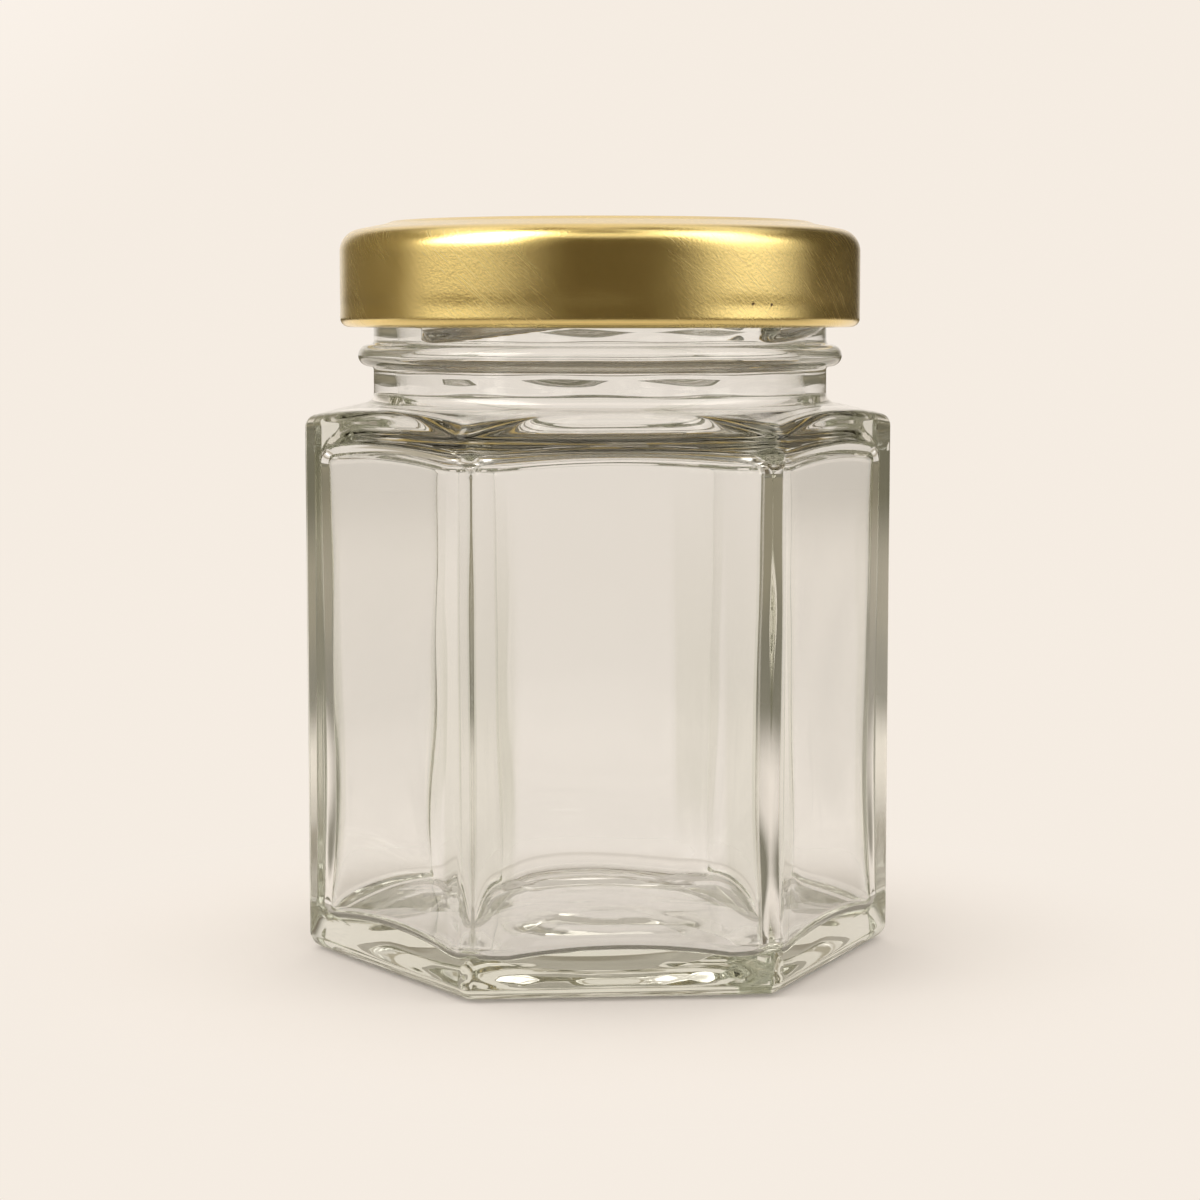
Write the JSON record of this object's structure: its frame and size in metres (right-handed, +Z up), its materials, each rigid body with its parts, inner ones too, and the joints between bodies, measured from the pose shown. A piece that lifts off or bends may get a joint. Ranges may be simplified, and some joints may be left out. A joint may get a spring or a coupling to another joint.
{
  "type": "hexagonal glass jar with twist-off lid",
  "caption": "small empty hexagonal clear glass food jar with a beaded, threaded neck and a gold-coloured twist-off metal lid",
  "frame": {"origin": "centre of the footprint, on the surface the jar stands on", "axes": "+Z up along the jar's axis; one flat face towards -Y; two opposite vertical edges on the X axis"},
  "size_m": [0.0686, 0.0604, 0.085],
  "materials": {
    "clear_glass": "clear pressed-and-blown soda-lime glass, glossy, a faint grey-green where it is thick",
    "gold_lacquer": "satin gold-coloured lacquer over tinplate, with fine hairline scratches",
    "sealing_compound": "matt off-white soft sealing compound"
  },
  "bodies": {
    "root": {"jar": "clear_glass", "lid": "gold_lacquer", "lid_seal": "sealing_compound"}
  },
  "joints": []
}
